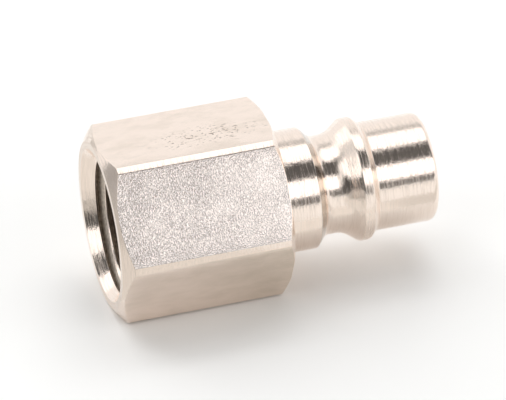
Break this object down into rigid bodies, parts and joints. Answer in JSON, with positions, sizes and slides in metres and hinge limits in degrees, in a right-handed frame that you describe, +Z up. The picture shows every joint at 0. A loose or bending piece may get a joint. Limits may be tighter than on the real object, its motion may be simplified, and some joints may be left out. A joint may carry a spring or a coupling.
{
  "type": "quick coupling nipple",
  "caption": "Straight-through quick coupling nipple: hexagon body with a female pipe thread, neck, ball locking groove, ridge and smooth sealing nose.",
  "frame": {"origin": "centre of the port's end face, on the turning axis", "axes": "+X along the turning axis from the port to the nose, +Z up; the hexagon lies on the flat that faces -Z"},
  "size_m": [0.0391, 0.0234, 0.0206],
  "materials": {
    "stainless_steel": "bright turned stainless steel, with frosted bar-stock flats on the hexagon"
  },
  "bodies": {
    "root": {"nipple": "stainless_steel"}
  },
  "joints": []
}
